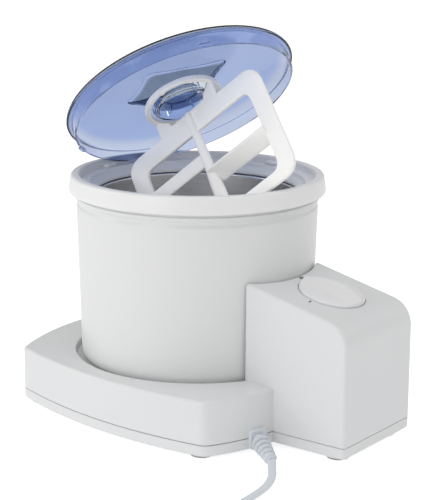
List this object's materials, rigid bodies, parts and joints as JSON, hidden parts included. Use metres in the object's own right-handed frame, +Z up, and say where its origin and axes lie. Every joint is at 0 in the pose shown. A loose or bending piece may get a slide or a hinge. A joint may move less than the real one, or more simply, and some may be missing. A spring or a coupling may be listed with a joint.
{
  "type": "ice cream maker",
  "caption": "Countertop ice cream maker with a motor tower, turning freezer bowl, tinted clear lid and mixing arm.",
  "frame": {"origin": "on the bowl's axis at the plane of the rubber feet", "axes": "+Z up along the bowl axis, +X towards the motor tower, +Y to the left when facing +X"},
  "size_m": [0.4205, 0.3553, 0.3028],
  "materials": {
    "white_shell": "satin white moulded plastic",
    "white_knob": "satin white",
    "white_bucket": "glossy white",
    "white_rim": "glossy white",
    "white_arm": "satin white",
    "lid_clear_blue": "clear blue tinted plastic",
    "bowl_aluminium": "satin spun aluminium",
    "cooling_gel": "cooling gel sealed in the wall",
    "seal_rubber": "soft grey seal",
    "foot_rubber": "grey rubber",
    "gear_plastic": "natural acetal",
    "plated_steel": "zinc plated",
    "lamination_steel": "varnished laminations",
    "coil_tape": "taped winding",
    "bush_brass": "turned",
    "pin_brass": "nickel washed blades",
    "black_plastic": "black moulding",
    "grey_print": "raised grey marks",
    "lead_insulation": "wire insulation",
    "pale_vinyl": "pale flexible vinyl"
  },
  "bodies": {
    "base": {"base_housing": "white_shell", "bottom_cover": "white_shell", "rubber_feet": "foot_rubber", "cover_screws": "plated_steel", "gear_plate": "plated_steel", "gear_axles": "plated_steel", "shaft_bush": "bush_brass", "motor_stator": "lamination_steel", "motor_coil": "coil_tape", "motor_brackets": "plated_steel", "motor_screws": "plated_steel", "switch_body": "black_plastic", "switch_marks": "grey_print", "internal_leads": "lead_insulation", "strain_relief": "pale_vinyl", "power_cord": "pale_vinyl", "cord_coil": "pale_vinyl", "cord_end": "pale_vinyl", "plug_body": "pale_vinyl", "plug_pins": "pin_brass"},
    "drive": {"drive_gear": "gear_plastic", "drive_shaft": "plated_steel", "drive_coupler": "gear_plastic"},
    "first_idler": {"first_gear": "gear_plastic"},
    "second_idler": {"second_gear": "gear_plastic"},
    "rotor": {"rotor_core": "lamination_steel", "rotor_shaft": "plated_steel", "motor_pinion": "bush_brass", "cooling_fan": "black_plastic"},
    "switch_knob": {"knob": "white_knob", "knob_spindle": "plated_steel"},
    "bucket": {"bucket_shell": "white_bucket", "rim_ring": "white_rim"},
    "freezer_bowl": {"bowl_outer_wall": "white_bucket", "bowl_liner": "bowl_aluminium", "cooling_fill": "cooling_gel", "bowl_seal": "seal_rubber", "bowl_drive_socket": "gear_plastic"},
    "lid_body": {"lid": "lid_clear_blue"},
    "arm": {"mixing_arm": "white_arm"}
  },
  "joints": [
    {"name": "bucket_lift", "type": "slide", "parent": "base", "child": "bucket", "axis": [0, 0, 1], "range_m": [0, 0.08]},
    {"name": "bowl_spin", "type": "hinge", "parent": "bucket", "child": "freezer_bowl", "pos_m": [0, 0, 0.05], "axis": [0, 0, 1], "continuous": true},
    {"name": "drive_spin", "type": "hinge", "parent": "base", "child": "drive", "pos_m": [0, 0, 0.03], "axis": [0, 0, 1], "continuous": true},
    {"name": "first_gear_spin", "type": "hinge", "parent": "base", "child": "first_idler", "pos_m": [0.0525, 0, 0.025], "axis": [0, 0, 1], "continuous": true},
    {"name": "second_gear_spin", "type": "hinge", "parent": "base", "child": "second_idler", "pos_m": [0.0915, 0, 0.015], "axis": [0, 0, 1], "continuous": true},
    {"name": "motor_spin", "type": "hinge", "parent": "base", "child": "rotor", "pos_m": [0.1227, 0, 0.05], "axis": [0, 0, 1], "continuous": true},
    {"name": "knob_turn", "type": "hinge", "parent": "base", "child": "switch_knob", "pos_m": [0.125, 0, 0.11], "axis": [0.225, 0, 0.9744], "range_deg": [0, 90]},
    {"name": "lid_tip", "type": "hinge", "parent": "bucket", "child": "lid_body", "pos_m": [-0.08922, 0.03285, 0.187], "axis": [-0.3649, -0.9311, 0], "range_deg": [0, 50]},
    {"name": "arm_twist", "type": "hinge", "parent": "lid_body", "child": "arm", "pos_m": [-0.01614, 0.003, 0.23859], "axis": [-0.6406, 0.2906, 0.7108], "range_deg": [-25, 0]}
  ],
  "couplings": [
    {"joint": "drive_spin", "follows": "bowl_spin", "ratio": 1},
    {"joint": "first_gear_spin", "follows": "bowl_spin", "ratio": -4},
    {"joint": "second_gear_spin", "follows": "bowl_spin", "ratio": 22},
    {"joint": "motor_spin", "follows": "bowl_spin", "ratio": -121}
  ]
}
